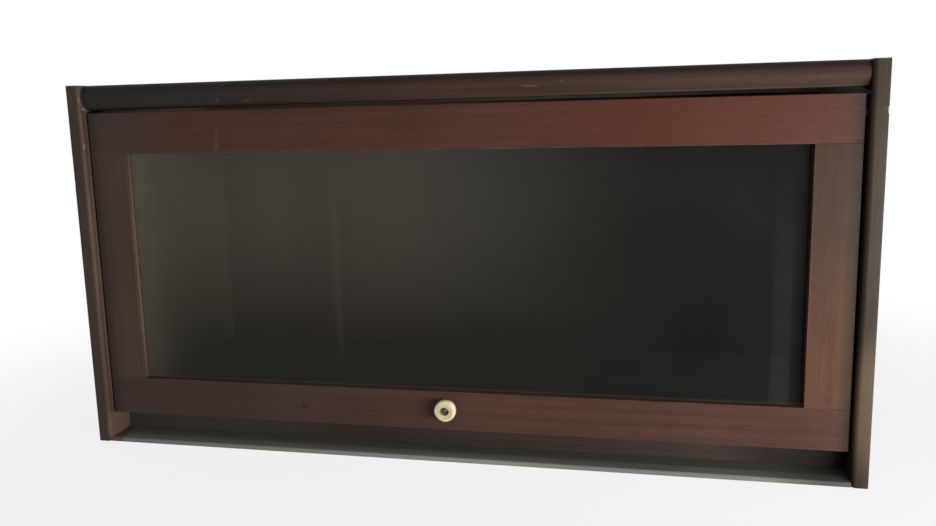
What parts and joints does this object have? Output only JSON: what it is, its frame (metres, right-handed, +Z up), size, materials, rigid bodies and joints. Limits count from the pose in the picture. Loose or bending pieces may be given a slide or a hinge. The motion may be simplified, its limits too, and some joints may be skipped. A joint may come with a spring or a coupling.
{
  "type": "barrister bookcase section",
  "caption": "Stacking bookcase section with an open top, a round-nosed top rail and a glazed wooden door that lifts and slides back into the case.",
  "frame": {"origin": "middle of the case's footprint, on the surface it stands on", "axes": "+Z up, +X to the viewer's right across the front, +Y into the case (the door faces -Y)"},
  "size_m": [0.864, 0.336, 0.42],
  "materials": {
    "case_wood": "dark red-brown stained wood, worn satin varnish",
    "ledge_wood": "bare grey, dusty, matt",
    "back_wood": "thin dark board, matt",
    "door_wood": "dark red-brown stained wood, satin varnish",
    "dowel_wood": "bare beech",
    "felt": "pressed wool felt",
    "glass": "clear old sheet glass",
    "knob_cream": "cream, satin, slightly yellowed",
    "steel": "dulled steel",
    "brass": "dull brass"
  },
  "bodies": {
    "case": {"left_end_panel": "case_wood", "right_end_panel": "case_wood", "top_front_rail": "case_wood", "top_back_rail": "case_wood", "shelf_board": "case_wood", "front_riser": "case_wood", "back_riser": "case_wood", "bottom_board": "ledge_wood", "back_panel": "back_wood", "shelf_felt": "felt", "case_dowels": "dowel_wood", "back_screws": "steel", "bottom_screws": "steel"},
    "pivot_pins": {"left_pivot_pin": "steel", "right_pivot_pin": "steel"},
    "door": {"door_top_rail": "door_wood", "door_bottom_rail": "door_wood", "left_door_stile": "door_wood", "right_door_stile": "door_wood", "door_dowels": "dowel_wood", "glass_pane": "glass", "top_glazing_bead": "door_wood", "bottom_glazing_bead": "door_wood", "left_glazing_bead": "door_wood", "right_glazing_bead": "door_wood", "glazing_pins": "steel", "knob": "knob_cream", "knob_screw": "steel", "left_pivot_bush": "brass", "right_pivot_bush": "brass"},
    "left_roller": {"left_roller": "steel"},
    "right_roller": {"right_roller": "steel"}
  },
  "joints": [
    {"name": "door_slide", "type": "slide", "parent": "case", "child": "pivot_pins", "axis": [0, 1, 0], "range_m": [0, 0.273]},
    {"name": "door_lift", "type": "hinge", "parent": "pivot_pins", "child": "door", "pos_m": [0, -0.146, 0.371], "axis": [-1, 0, 0], "range_deg": [0, 90]},
    {"name": "left_roller_roll", "type": "hinge", "parent": "pivot_pins", "child": "left_roller", "pos_m": [0, -0.146, 0.371], "axis": [-1, 0, 0], "range_deg": [0, 2465]},
    {"name": "right_roller_roll", "type": "hinge", "parent": "pivot_pins", "child": "right_roller", "pos_m": [0, -0.146, 0.371], "axis": [-1, 0, 0], "range_deg": [0, 2465]}
  ],
  "couplings": [
    {"joint": "door_slide", "follows": "door_lift", "m_per_rad": 0.1738},
    {"joint": "left_roller_roll", "follows": "door_lift", "ratio": 27.37},
    {"joint": "right_roller_roll", "follows": "door_lift", "ratio": 27.37}
  ]
}
